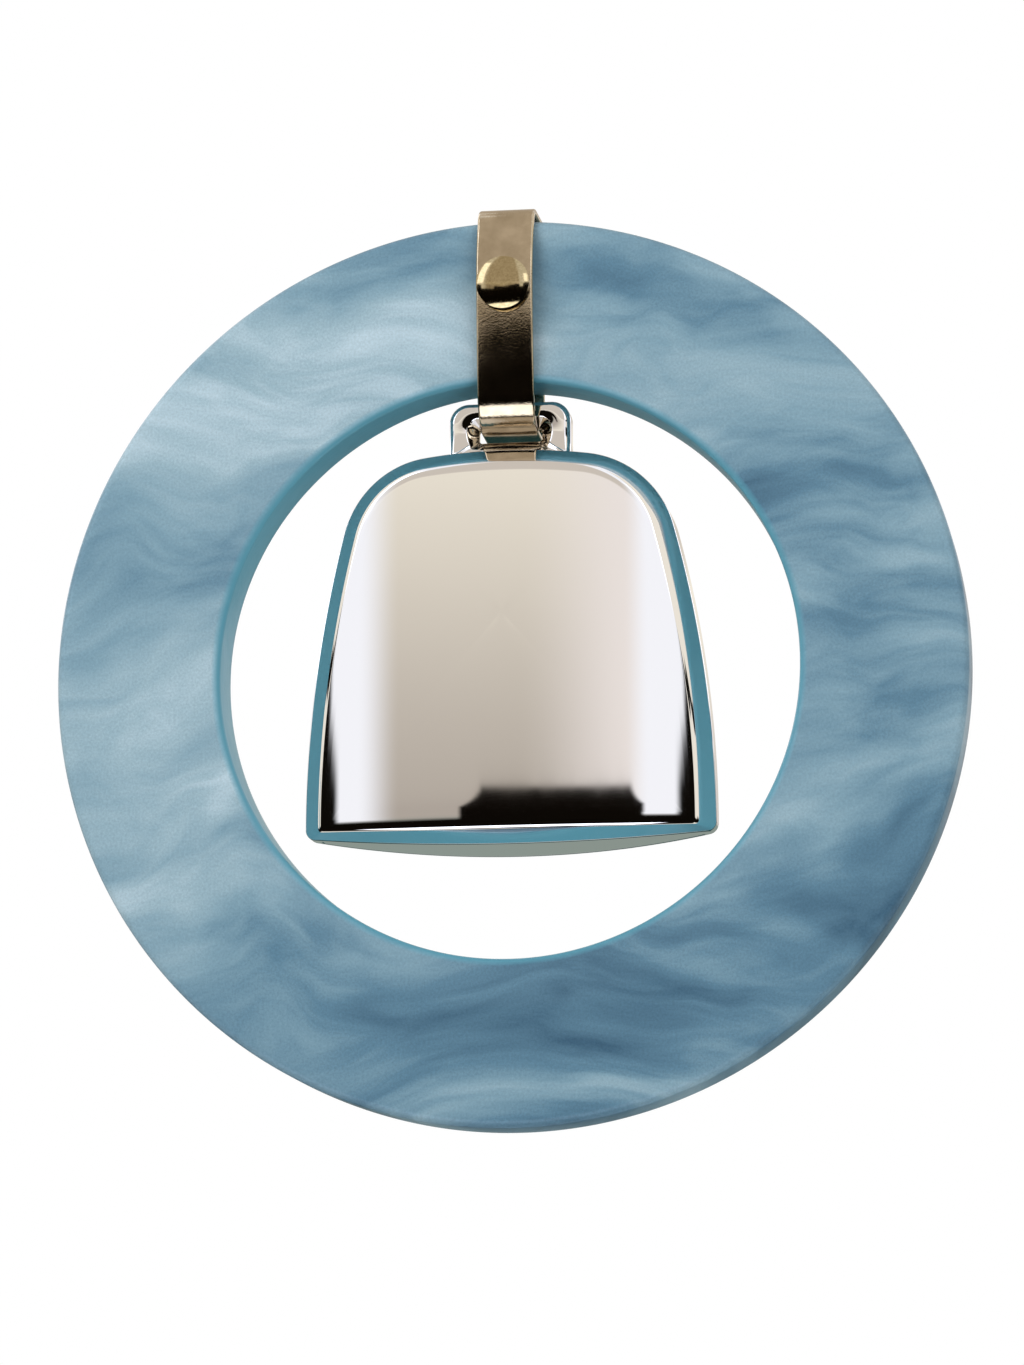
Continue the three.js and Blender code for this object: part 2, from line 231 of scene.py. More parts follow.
def make_ring(material):
    edge = RING_HALF_DEPTH - RING_EDGE_R
    inner = RING_INNER_R + RING_EDGE_R
    outer = RING_OUTER_R - RING_EDGE_R
    corners = [
        arc(outer, -edge, RING_EDGE_R, -QUARTER, 0, EDGE_STEPS),
        arc(outer, edge, RING_EDGE_R, 0, QUARTER, EDGE_STEPS),
        arc(inner, edge, RING_EDGE_R, QUARTER, math.pi, EDGE_STEPS),
        arc(inner, -edge, RING_EDGE_R, math.pi, 3 * QUARTER, EDGE_STEPS),
    ]
    section = [p for corner in corners for p in corner]
    rows = lathe(section, RING_STEPS)
    vertices = [p for row in rows for p in row]
    faces = grid_faces(len(section), RING_STEPS, wrap_rows=True)
    ring = new_object("pearl_ring", vertices, faces, material)
    drill(ring, RIVET_HOLE_R, RIVET_HEIGHT)
    return ring


LEG_OFFSET = RING_HALF_DEPTH + FIT_GAP + STRAP_THICKNESS / 2
OVERLAP_OFFSET = LEG_OFFSET + STRAP_THICKNESS + FIT_GAP
BAR_SEAT_HEIGHT = LOOP_BAR_HEIGHT - LOOP_BAR_R - 2 * FIT_GAP
FOLD_HEIGHT = BAR_SEAT_HEIGHT - STRAP_THICKNESS / 2 + STRAP_FOLD_DROP / 2
CROWN_HEIGHT = RING_OUTER_R + STRAP_SLACK + STRAP_THICKNESS / 2


def strap_bow(z):
    """How far the front leg bows away from the ring at a height; the lean dies away inside the fold."""
    low = FOLD_HEIGHT + STRAP_FRONT_FOLD_R
    high = CROWN_HEIGHT - STRAP_CORNER_R
    if z < low:
        lean = 2 * STRAP_BOW / (STRAP_BOW_HEIGHT - low)
        return -lean * STRAP_BOW_FADE * (1 - math.exp((z - low) / STRAP_BOW_FADE))
    end = low if z < STRAP_BOW_HEIGHT else high
    share = min(abs((z - STRAP_BOW_HEIGHT) / (end - STRAP_BOW_HEIGHT)), 1)
    return STRAP_BOW * (1 - share**2)


def make_strap(material):
    low_end, high_end = STRAP_OVERLAP
    corners = [
        (LEG_OFFSET, high_end, 0),
        (LEG_OFFSET, FOLD_HEIGHT - STRAP_FOLD_DROP, STRAP_BACK_FOLD_R),
        (-LEG_OFFSET, FOLD_HEIGHT, STRAP_FRONT_FOLD_R),
        (-LEG_OFFSET, CROWN_HEIGHT, STRAP_CORNER_R),
        (OVERLAP_OFFSET, CROWN_HEIGHT, STRAP_CORNER_R),
        (OVERLAP_OFFSET, low_end, 0),
    ]
    path = rounded_line(corners, arc_steps=14, spacing=STRAP_SPACING)
    for point in path:
        if point.x < 0:
            point.x -= strap_bow(point.y)
    half_width = STRAP_WIDTH / 2 - STRAP_EDGE_R
    half_thick = STRAP_THICKNESS / 2 - STRAP_EDGE_R
    section = []
    for i, (x, t) in enumerate([(1, 1), (-1, 1), (-1, -1), (1, -1)]):
        start = i * QUARTER
        section += arc(x * half_width, t * half_thick, STRAP_EDGE_R, start, start + QUARTER, steps=5)
    vertices = []
    for i, point in enumerate(path):
        along = (path[min(i + 1, len(path) - 1)] - path[max(i - 1, 0)]).normalized()
        out = Vector((-along.y, along.x))
        vertices += [(s.x, point.x + out.x * s.y, point.y + out.y * s.y) for s in section]
    count = len(section)
    last = len(vertices) - 1
    faces = grid_faces(len(path), count)
    faces += [tuple(range(count)), tuple(range(last, last - count, -1))]
    strap = new_object("metal_strap", vertices, faces, material)
    drill(strap, RIVET_HOLE_R, RIVET_HEIGHT)
    return strap


def dome_profile(head, seat, side):
    """Half the section of a rivet head as (radius, y), from its apex to its seat on the shank.
    The dome is flattened in its middle and rolls off towards its rim."""
    radius, rim, dome = head["radius"], head["rim"], head["dome"]
    steps = 36
    points = []
    for i in range(1, steps + 1):
        angle = QUARTER * i / steps
        reach = math.sin(angle)
        rise = rim + dome * (1 - reach**DOME_POWER)
        points.append((radius * reach, side * (seat + rise)))
    lip = 0.04 * MM
    points += [(radius, side * (seat + lip)), (radius - lip, side * seat), (RIVET_SHANK_R, side * seat)]
    return points


def make_rivet(material):
    front_seat = LEG_OFFSET + STRAP_THICKNESS / 2 + strap_bow(RIVET_HEIGHT) + FIT_GAP
    back_seat = OVERLAP_OFFSET + STRAP_THICKNESS / 2 + FIT_GAP
    section = dome_profile(RIVET_HEAD, front_seat, -1) + dome_profile(RIVET_TAIL, back_seat, 1)[::-1]
    rows = lathe(section, RIVET_STEPS)
    front_apex = (0, -front_seat - RIVET_HEAD["rim"] - RIVET_HEAD["dome"], 0)
    back_apex = (0, back_seat + RIVET_TAIL["rim"] + RIVET_TAIL["dome"], 0)
    vertices = [p for row in rows for p in row] + [front_apex, back_apex]
    lift = Vector((0, 0, RIVET_HEIGHT))
    vertices = [Vector(v) + lift for v in vertices]
    faces = grid_faces(len(rows), RIVET_STEPS)
    last = (len(rows) - 1) * RIVET_STEPS
    for i in range(RIVET_STEPS):
        following = (i + 1) % RIVET_STEPS
        faces.append((len(vertices) - 2, i, following))
        faces.append((len(vertices) - 1, last + following, last + i))
    rivet = new_object("rivet_domed", vertices, faces, material)
    rivet.data.set_sharp_from_angle(angle=math.radians(50))
    return rivet


# ---- Bell ---------------------------------------------------------------------------------------------

SHOULDER_X = BELL_HALF_WIDTH - BELL_SIDE_R + (BELL_SIDE_R - BELL_SHOULDER_R) * math.cos(BELL_SHOULDER_START)
SHOULDER_Z = BELL_SIDE_FOOT + (BELL_SIDE_R - BELL_SHOULDER_R) * math.sin(BELL_SHOULDER_START)
SHOULDER_END = math.acos(SHOULDER_X / (BELL_TOP_R - BELL_SHOULDER_R))
TOP_CENTRE_Z = SHOULDER_Z - (BELL_TOP_R - BELL_SHOULDER_R) * math.sin(SHOULDER_END)
BELL_MIDDLE_Z = BELL_SIDE_FOOT + BELL_HALF_WIDTH  # the height that the face's rows are drawn in towards


def bell_outline(inset, corner_r, bottom, bottom_r):
    """The bell's outline from the front: from the middle of its top clockwise, all the way round."""
    side_x = BELL_HALF_WIDTH - inset
    corner_x = side_x - corner_r
    bottom_centre = bottom + bottom_r
    corner_z = bottom_centre - math.sqrt((bottom_r - corner_r) ** 2 - corner_x**2)
    corner_end = -math.acos(corner_x / (bottom_r - corner_r))
    side_centre_x = BELL_HALF_WIDTH - BELL_SIDE_R
    side_r = BELL_SIDE_R - inset
    shoulder_r = BELL_SHOULDER_R - inset
    right = arc(0, TOP_CENTRE_Z, BELL_TOP_R - inset, QUARTER, SHOULDER_END, steps=16)
    right += arc(SHOULDER_X, SHOULDER_Z, shoulder_r, SHOULDER_END, BELL_SHOULDER_START, steps=28)[1:]
    right += arc(side_centre_x, BELL_SIDE_FOOT, side_r, BELL_SHOULDER_START, 0, steps=36)[1:]
    right += arc(corner_x, corner_z, corner_r, 0, corner_end, steps=EDGE_STEPS)
    right += arc(0, bottom_centre, bottom_r, corner_end, -QUARTER, steps=48)[1:]
    left = [Vector((-p.x, p.y)) for p in right[-2:0:-1]]
    return right + left


def face_depth(x, z):
    """Half the bell's depth at a place on its face, which is rolled like part of a tube and turns under
    just above its lower edge."""
    rolled = BELL_HALF_DEPTH - BELL_FACE_R + math.sqrt(BELL_FACE_R**2 - x**2)
    edge_z = BELL_BOTTOM + BEVEL_BOTTOM + FACE_BOTTOM_R - math.sqrt(FACE_BOTTOM_R**2 - x**2)
    above_edge = max(z - edge_z, 0)
    return rolled - math.tan(CURL_ANGLE) * CURL_REACH * math.exp(-above_edge / CURL_REACH)


def bevel_section():
    """Points (u, drop) from just inside the face's edge over the bevel to the side wall: u is the distance
    in from the outline and drop the distance behind the face's edge."""
    inside = BEVEL_WIDTH + 3 * FACE_EDGE_R
    corners = [
        (inside, 0, 0),
        (BEVEL_WIDTH, 0, FACE_EDGE_R),
        (0, BEVEL_DEPTH, WALL_EDGE_R),
        (0, BEVEL_DEPTH + 2 * WALL_EDGE_R, 0),
    ]
    return rounded_line(corners, arc_steps=8, spacing=BEVEL_SPACING)[1:-1]


def bell_rows():
    """Rows of points from the middle of the front face over the bevel to the middle plane."""
    side = bell_outline(0, BELL_CORNER_R, BELL_BOTTOM, BELL_BOTTOM_R)
    face = bell_outline(BEVEL_WIDTH, BELL_CORNER_R / 3, BELL_BOTTOM + BEVEL_BOTTOM, FACE_BOTTOM_R)
    middle = Vector((0, BELL_MIDDLE_Z))
    section = bevel_section()
    start = section[0].x - BEVEL_WIDTH
    rows = []
    for i in range(1, FACE_ROWS + 1):
        share = 1 - (1 - i / FACE_ROWS) ** FACE_CROWDING
        row = []
        for p in face:
            reach = 1 - start / (p - middle).length
            q = middle.lerp(p, share * reach)
            row.append((q.x, -face_depth(q.x, q.y), q.y))
        rows.append(row)
    for u, drop in section[1:]:
        row = []
        for s, p in zip(side, face):
            if u > BEVEL_WIDTH:
                q = p + (middle - p).normalized() * (u - BEVEL_WIDTH)
                depth = face_depth(q.x, q.y)
            else:
                q = s.lerp(p, u / BEVEL_WIDTH)
                depth = face_depth(p.x, p.y)
            row.append((q.x, drop - depth, q.y))
        rows.append(row)
    wall_top = rows[-1]
    for share in WALL_ROWS:
        rows.append([(x, y * (1 - share), z) for x, y, z in wall_top])
    return rows


def inner_rows(rows):
    """The bell's inner surface, point for point behind its outer rows and drawn in towards the middle."""
    inward = []
    for row in rows:
        inner = []
        for x, y, z in row:
            out = Vector((x, z - BELL_MIDDLE_Z))
            reach = out.length
            kept = out * (max(reach - WALL * min(reach / BELL_HALF_WIDTH, 1), 0) / reach)
            depth = math.copysign(max(abs(y) - WALL, 0), y)
            inner.append((kept.x, depth, kept.y + BELL_MIDDLE_Z))
        inward.append(inner)
    return inward


def walled(name, outer, inner, faces, material):
    """A piece of the bell's wall: some faces of the outer surface, the same of the inner one, and a rim."""
    edges = {}
    for face in faces:
        for a, b in zip(face, face[1:] + face[:1]):
            if (b, a) in edges:
                del edges[(b, a)]
            else:
                edges[(a, b)] = True
    used = sorted({v for face in faces for v in face})
    place = {v: k for k, v in enumerate(used)}
    shift = len(used)
    vertices = [outer[v] for v in used] + [inner[v] for v in used]
    solid = [tuple(place[v] for v in face) for face in faces]
    solid += [tuple(place[v] + shift for v in face[::-1]) for face in faces]
    solid += [(place[b], place[a], place[a] + shift, place[b] + shift) for a, b in edges]
    piece = new_object(name, vertices, solid, material)
    piece.data.set_sharp_from_angle(angle=math.radians(60))
    return piece


def make_bell(material):
    """The two shells and the bottom plate, cut from one closed surface along the lines where they meet."""
    front = bell_rows()
    columns = len(front[0])
    wall_start = len(front) - 1 - len(WALL_ROWS)
    rows = front + [[(x, -y, z) for x, y, z in row] for row in front[-2::-1]]
    depth = face_depth(0, BELL_MIDDLE_Z)
    outer = [p for row in rows for p in row]
    inner = [p for row in inner_rows(rows) for p in row]
    poles = (len(outer), len(outer) + 1)
    for side in (-1, 1):
        outer.append((0, side * depth, BELL_MIDDLE_Z))
        inner.append((0, side * (depth - WALL), BELL_MIDDLE_Z))
    faces = [f[::-1] for f in grid_faces(len(rows), columns)]
    last = (len(rows) - 1) * columns
    for c in range(columns):
        following = (c + 1) % columns
        faces.append((poles[0], following, c))
        faces.append((poles[1], last + c, last + following))

    def piece_of(face_index, face):
        row = face_index // columns
        x = sum(outer[v][0] for v in face) / len(face)
        z = sum(outer[v][2] for v in face) / len(face)
        wall_rows = range(wall_start, len(rows) - 1 - wall_start)
        if row in wall_rows and z < BELL_SIDE_FOOT and abs(x) < PLATE_HALF_WIDTH:
            return "bell_base_plate"
        y = sum(outer[v][1] for v in face) / len(face)
        return "bell_shell_front" if y < 0 else "bell_shell_back"

    groups = {"bell_shell_front": [], "bell_shell_back": [], "bell_base_plate": []}
    for index, face in enumerate(faces):
        groups[piece_of(index, face)].append(face)
    return {name: walled(name, outer, inner, members, material) for name, members in groups.items()}


def loop_frame(half_width, top, bottom, top_r, bottom_r):
    """A rounded rectangle about the loop's slot, from the middle of its top clockwise all the way round."""
    corners = [
        (0, top, 0),
        (half_width, top, top_r),
        (half_width, bottom, bottom_r),
        (-half_width, bottom, bottom_r),
        (-half_width, top, top_r),
        (0, top, 0),
    ]
    corner_steps = 16
    straight_steps = 14
    sides = rounded_line(corners, corner_steps)
    line = []
    for i, (here, ahead) in enumerate(zip(sides, sides[1:])):
        pieces = straight_steps if i % (corner_steps + 1) == 0 else 1
        line += [here.lerp(ahead, k / pieces) for k in range(pieces)]
    return line


def loop_section(width):
    """Points (distance from the slot, share of the depth) over the loop's front and back, once round."""
    chamfer = min(SLOT_CHAMFER, width / 2)
    side = [
        (0, SLOT_LIP),
        (0.05 * chamfer, SLOT_LIP + 0.05),
        (0.92 * chamfer, 0.96),
        (chamfer, 1),
        (width - LOOP_EDGE - 0.1 * MM, 1),
        (width - LOOP_EDGE + 0.03 * MM, 0.96),
        (width - 0.05 * MM, 0.66),
        (width, 0.55),
    ]
    front = [(along, -depth) for along, depth in side]
    return [(0, 0)] + front + side[::-1]


def make_loop(material):
    """The slotted loop on the bell's top, spreading a little where it meets the bell."""
    slot_top = LOOP_BAR_HEIGHT - LOOP_BAR_R
    crown = TOP_CENTRE_Z + BELL_TOP_R
    sink = 1 * MM  # how far its foot is drawn down, before the bell's top cuts it off
    foot_depth = 0.3 * MM
    slot = loop_frame(SLOT_HALF_WIDTH, slot_top, SLOT_BOTTOM, SLOT_CORNER_R, SLOT_CORNER_R)
    bar_top = LOOP_BAR_HEIGHT + LOOP_BAR_R
    outline = loop_frame(LOOP_HALF_WIDTH, bar_top, crown - sink, LOOP_CORNER_R, SLOT_CORNER_R)
    vertices = []
    for inner, outer in zip(slot, outline):
        outward = outer - inner
        width = outward.length
        outward.normalize()
        for along, share in loop_section(width):
            point = inner + outward * along
            bell_top = TOP_CENTRE_Z + math.sqrt(BELL_TOP_R**2 - point.x**2)
            height = max(point.y - bell_top, 0)
            spread = LOOP_FILLET * math.exp(-height / LOOP_FILLET_FADE)
            outside = abs(point.x) > SLOT_HALF_WIDTH + SLOT_CHAMFER
            beside = math.copysign(spread, point.x) if outside else 0
            depth = share * (LOOP_HALF_DEPTH + spread)
            vertices.append((point.x + beside, depth, max(point.y, bell_top - foot_depth)))
    count = len(vertices) // len(slot)
    faces = grid_faces(len(slot), count, wrap_rows=True)
    loop = new_object("bell_loop_slotted", vertices, faces, material)
    loop.data.set_sharp_from_angle(angle=math.radians(50))
    return loop


def make_pellet(index, material):
    """A ball of tumbled steel: a round-cornered cube blown up to a sphere, with faint flats."""
    low, high = (Vector(corner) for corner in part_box(f"pellet_{index}"))
    centre = (low + high) / 2 - RING_CENTRE
    radius = (high.x - low.x) / 2
    cuts = 12
    vertices = []
    faces = []
    for axis in range(3):
        for side in (-1, 1):
            start = len(vertices)
            for i in range(cuts + 1):
                for j in range(cuts + 1):
                    point = Vector((side, 2 * i / cuts - 1, 2 * j / cuts - 1))
                    point = Vector([point[(k - axis) % 3] for k in range(3)]).normalized()
                    dent = noise.noise(PELLET_FLAT_SCALE * point + Vector((index, 0, 0)))
                    flat = 1 - PELLET_FLATS * max(dent, 0)
                    vertices.append(centre + point * radius * flat)
            for i in range(cuts):
                for j in range(cuts):
                    a = start + i * (cuts + 1) + j
                    quad = (a, a + cuts + 1, a + cuts + 2, a + 1)
                    faces.append(quad if side > 0 else quad[::-1])
    pellet = new_object(f"steel_ball_{index}", vertices, faces, material)
    weld = pellet.modifiers.new("join", "WELD")
    weld.merge_threshold = 0.001 * MM
    bake_modifiers(pellet)
    return pellet


# ---- Materials ----------------------------------------------------------------------------------------


class Tree:
    """A node tree, with short calls for the nodes that are used here."""

    def __init__(self, tree):
        self.tree = tree

    def add(self, kind, **settings):
        node = self.tree.nodes.new(kind)
        for key, value in settings.items():
            setattr(node, key, value)
        return node

    def link(self, source, target):
        self.tree.links.new(source, target)

    def put(self, socket, value):
        """Links the socket to another one, or sets it to a value."""
        if isinstance(value, bpy.types.NodeSocket):
            self.link(value, socket)
        else:
            socket.default_value = value

    def feed(self, node, **inputs):
        """Sets or links a node's inputs, named with _ for spaces."""
        for key, value in inputs.items():
            self.put(node.inputs[key.replace("_", " ")], value)
        return node

    def math(self, operation, a, b=0.0):
        node = self.add("ShaderNodeMath", operation=operation)
        self.put(node.inputs[0], a)
        self.put(node.inputs[1], b)
        return node.outputs["Value"]

    def mix(self, factor, a, b, blend="MIX"):
        """A mix of two colours, each a socket or (red, green, blue)."""
        node = self.add("ShaderNodeMix", data_type="RGBA", blend_type=blend)
        self.put(node.inputs["Factor"], factor)
        for key, colour in (("A", a), ("B", b)):
            self.put(node.inputs[key], colour if isinstance(colour, bpy.types.NodeSocket) else (*colour, 1))
        return node.outputs["Result"]


class Nodes(Tree):
    """A material's nodes."""

    def __init__(self, name):
        self.material = bpy.data.materials.new(name)
        self.material.use_nodes = True
        super().__init__(self.material.node_tree)
        self.shader = self.tree.nodes["Principled BSDF"]
        self.place = self.add("ShaderNodeTexCoord").outputs["Object"]

    def mapping(self, source, scale=(1, 1, 1), rotation=(0, 0, 0), location=(0, 0, 0)):
        node = self.add("ShaderNodeMapping")
        self.feed(node, Vector=source, Scale=scale, Rotation=rotation, Location=location)
        return node.outputs["Vector"]

    def noise(self, source, scale, detail=2, roughness=0.5, distortion=0.0):
        node = self.add("ShaderNodeTexNoise")
        return self.feed(
            node, Vector=source, Scale=scale, Detail=detail, Roughness=roughness, Distortion=distortion
        )

    def warp(self, source, scale, amount, detail=2):
        """Coordinates pushed about by a noise."""
        shifts = self.noise(source, scale, detail).outputs["Color"]
        centred = self.add("ShaderNodeVectorMath", operation="SUBTRACT")
        self.put(centred.inputs[0], shifts)
        self.put(centred.inputs[1], (0.5, 0.5, 0.5))
        moved = self.add("ShaderNodeVectorMath", operation="MULTIPLY_ADD")
        self.put(moved.inputs[0], centred.outputs["Vector"])
        self.put(moved.inputs[1], (amount, amount, amount))
        self.put(moved.inputs[2], source)
        return moved.outputs["Vector"]

    def ramp(self, source, stops):
        """Colours by value; each stop is a place and a colour."""
        node = self.add("ShaderNodeValToRGB")
        elements = node.color_ramp.elements
        while len(elements) < len(stops):
            elements.new(0.5)
        for element, (place, colour) in zip(elements, stops):
            element.position = place
            element.color = (*colour, 1)
        self.link(source, node.inputs["Fac"])
        return node.outputs["Color"]

    def spread(self, source, low, high):
        """A value between 0 and 1 spread between two limits."""
        node = self.add("ShaderNodeMapRange")
        self.feed(node, Value=source, To_Min=low, To_Max=high)
        return node.outputs["Result"]

    def bump(self, height, strength, distance):
        node = self.add("ShaderNodeBump")
        self.feed(node, Height=height, Strength=strength, Distance=distance)
        return node.outputs["Normal"]


STREAK_SCALE = (0.75, 1.5, 3.0)  # the clouds are drawn out sideways
STREAK_LEAN = math.radians(-14)
FINE_SHARE = 0.26  # how much of the cloudiness is fine wisps
PAINTED_LIGHT_RIGHT = -0.06  # painted light: the ring's colour is painted paler towards the left and towards the top
PAINTED_LIGHT_UP = 0.03


def srgb(red, green, blue):
    """A colour given in steps of 0 to 255, none of them below 11, made linear."""
    return tuple(((v / 255 + 0.055) / 1.055) ** 2.4 for v in (red, green, blue))


def pearl_plastic():
    """Pearl-blue resin: broad clouds drawn out sideways, with paler eddies, a fine glitter of flakes and
    a deeper tint on the ring's inner wall. The palest clouds are painted highlights for the pearl's white
    glints, and the whole ring is painted paler towards the upper left as painted light."""
    m = Nodes("pearl_plastic")
    unit = 1 / RING_OUTER_R
    centred = m.mapping(m.place, scale=(unit, unit, unit), location=(0, 0, -RING_CENTRE.z * unit))
    swirled = m.warp(m.warp(centred, scale=0.9, amount=0.75), scale=2.6, amount=0.16)
    drawn = m.mapping(swirled, scale=STREAK_SCALE, rotation=(0, STREAK_LEAN, 0))
    broad = m.noise(drawn, scale=1.1, detail=4, roughness=0.5, distortion=0.35).outputs["Fac"]
    fine = m.noise(drawn, scale=4.2, detail=7, roughness=0.55, distortion=0.6).outputs["Fac"]
    clouds = m.math("ADD", m.math("MULTIPLY", broad, 1 - FINE_SHARE), m.math("MULTIPLY", fine, FINE_SHARE))
    x, _, z = m.feed(m.add("ShaderNodeSeparateXYZ"), Vector=centred).outputs
    # painted light: a slope across the whole ring, paler towards the upper left
    painted_light_slope = m.math("ADD", m.math("MULTIPLY", x, PAINTED_LIGHT_RIGHT), m.math("MULTIPLY", z, PAINTED_LIGHT_UP))
    streaks = m.math("ADD", clouds, painted_light_slope)
    # the darker stops are the resin's own blue and grey-blue streaks; the palest stop is a painted
    # highlight for the pearl's white glints
    colour = m.ramp(
        streaks,
        [
            (0.28, srgb(36, 60, 77)),
            (0.41, srgb(62, 88, 103)),
            (0.50, srgb(85, 108, 119)),
            (0.60, srgb(105, 124, 132)),
            (0.72, srgb(133, 147, 154)),
            (0.84, srgb(204, 210, 218)),
        ],
    )
    flakes = m.noise(m.place, scale=5200, detail=2, roughness=0.7).outputs["Fac"]
    glittering = m.mix(0.3, colour, flakes, blend="OVERLAY")
    reach = m.add("ShaderNodeVectorMath", operation="LENGTH")
    m.put(reach.inputs[0], m.mapping(centred, scale=(1, 0, 1)))
    wall = RING_INNER_R / RING_OUTER_R
    near_wall = m.add("ShaderNodeMapRange")
    m.feed(near_wall, Value=reach.outputs["Value"], From_Min=wall + 0.018, From_Max=wall + 0.004)
    m.feed(
        m.shader,
        Base_Color=m.mix(near_wall.outputs["Result"], glittering, srgb(65, 112, 126)),
        Metallic=0.1,
        Roughness=m.spread(fine, 0.3, 0.5),
        Specular_IOR_Level=0.15,
        Coat_Weight=0.2,
        Coat_Roughness=0.03,
        Coat_IOR=1.4,
        Normal=m.bump(streaks, strength=0.2, distance=1.5 * MM),
    )
    return m.material


def bell_silver():
    """Mirror-polished plate with faint polishing haze."""
    m = Nodes("bell_silver")
    brushed = m.mapping(m.place, scale=(900, 900, 60))
    haze = m.noise(brushed, scale=1.0, detail=4, roughness=0.6).outputs["Fac"]
    swell = m.noise(m.place, scale=90, detail=1).outputs["Fac"]
    m.feed(
        m.shader,
        Base_Color=(*srgb(239, 237, 236), 1),
        Metallic=1.0,
        Roughness=m.spread(haze, 0.02, 0.04),
        Normal=m.bump(swell, strength=0.05, distance=0.1 * MM),
    )
    return m.material


def satin_nickel():
    """Warm nickel strip with a fine pebbled grain."""
    m = Nodes("satin_nickel")
    grain = m.noise(m.place, scale=6000, detail=3, roughness=0.6).outputs["Fac"]
    blotch = m.noise(m.place, scale=700, detail=3).outputs["Fac"]
    m.feed(
        m.shader,
        Base_Color=m.ramp(blotch, [(0.3, srgb(178, 162, 136)), (0.7, srgb(204, 188, 162))]),
        Metallic=1.0,
        Roughness=m.spread(blotch, 0.08, 0.14),
        Normal=m.bump(grain, strength=0.4, distance=0.02 * MM),
    )
    return m.material


def rivet_nickel():
    """Polished warm nickel, slightly dented by the rivet set."""
    m = Nodes("rivet_nickel")
    dents = m.noise(m.place, scale=900, detail=2, roughness=0.4).outputs["Fac"]
    grain = m.noise(m.place, scale=6000, detail=2).outputs["Fac"]
    m.feed(
        m.shader,
        Base_Color=m.ramp(grain, [(0.3, srgb(168, 150, 112)), (0.7, srgb(186, 168, 130))]),
        Metallic=1.0,
        Roughness=m.spread(grain, 0.06, 0.14),
        Normal=m.bump(dents, strength=0.2, distance=0.05 * MM),
    )
    return m.material


def pellet_steel():
    """Plain tumbled steel with small pits."""
    m = Nodes("pellet_steel")
    pits = m.noise(m.place, scale=3000, detail=4, roughness=0.6).outputs["Fac"]
    m.feed(
        m.shader,
        Base_Color=m.ramp(pits, [(0.35, srgb(118, 118, 116)), (0.65, srgb(168, 168, 166))]),
        Metallic=1.0,
        Roughness=m.spread(pits, 0.22, 0.4),
        Normal=m.bump(pits, strength=0.3, distance=0.05 * MM),
    )
    return m.material


# ---- Floor, light and camera --------------------------------------------------------------------------

CAMERA_AZIMUTH = math.radians(8.7)
CAMERA_ELEVATION = math.radians(-10.6)
CAMERA_DISTANCE = 0.375
FRAME_HEIGHT = 104.1 * MM  # what the frame takes in at the ring, top to bottom
FRAME_MIDDLE = Vector((0.05 * MM, 0, -0.8 * MM))  # from the ring's centre
FLOOR_DROP = 0.125  # from the ring's centre
FLOOR_HALF = 0.3

BEIGE = (0.67, 0.61, 0.54)
DUSK = (0.48, 0.43, 0.38)
IVORY = (1.06, 1.00, 0.86)
PEARL = (0.94, 0.88, 0.85)
CREAM = (0.95, 0.90, 0.80)
WHITE = (1.04, 1.06, 1.12)
GLARE = (2.6, 2.7, 3.0)
PALE = (0.62, 0.61, 0.60)
GREY = (0.27, 0.32, 0.29)
TEAL = (0.02, 0.06, 0.065)
BLACK = (0.004, 0.003, 0.002)
SOFT = (0.95, 0.97, 1.0)  # what lights matt surfaces

# Where the studio's cards stand, in degrees of azimuth and elevation.
SIDE_LEFT = -63  # the side cards stand beyond these azimuths
SIDE_RIGHT = 50
DARK_FOOT = -27  # the dark cards in front end here below
LOOP_SIGHT = 13.0  # the bell mirrors nothing higher up at the sides, the loop nothing lower down
STRAP_SIGHT = 14.6  # and the strap nothing below this
WEDGE_STEPS = 8  # the dark cards at both sides step away from the middle as they rise
WEDGE_FOOT_AZIMUTH = 31.5
WEDGE_FOOT_TOP = 9.7
WEDGE_RISE = 0.35
WEDGE_SKEW = 17  # how much further out the left one stands
PATCH_STEPS = 7  # and the dark card in the middle steps in
PATCH_LEFT = -18.5
PATCH_RIGHT = 23.5
PATCH_LEFT_STEP = 0.8
PATCH_RIGHT_STEP = 0.45
PATCH_TOP = 9.34
PATCH_RISE = 0.17


def add_camera():
    data = bpy.data.cameras.new("camera")
    data.lens = data.sensor_width * CAMERA_DISTANCE / FRAME_HEIGHT
    data.clip_start = 0.01
    camera = bpy.data.objects.new("camera", data)
    bpy.context.collection.objects.link(camera)
    flat = math.cos(CAMERA_ELEVATION)
    away = Vector(
        (math.sin(CAMERA_AZIMUTH) * flat, -math.cos(CAMERA_AZIMUTH) * flat, math.sin(CAMERA_ELEVATION))
    )
    target = RING_CENTRE + FRAME_MIDDLE
    camera.location = target + away * CAMERA_DISTANCE
    camera.rotation_euler = (-away).to_track_quat("-Z", "Y").to_euler()
    bpy.context.scene.camera = camera


def add_floor():
    m = Nodes("floor_paper")
    fibre = m.noise(m.place, scale=400, detail=4).outputs["Fac"]
    m.feed(
        m.shader,
        Base_Color=m.ramp(fibre, [(0.3, (0.86, 0.86, 0.86)), (0.7, (0.9, 0.9, 0.9))]),
        Roughness=0.9,
        Normal=m.bump(fibre, strength=0.05, distance=0.2 * MM),
    )
    h = FLOOR_HALF
    corners = [(-h, -h, -FLOOR_DROP), (h, -h, -FLOOR_DROP), (h, h, -FLOOR_DROP), (-h, h, -FLOOR_DROP)]
    floor = new_object("floor", corners, [(0, 1, 2, 3)], m.material)
    floor.visible_glossy = False


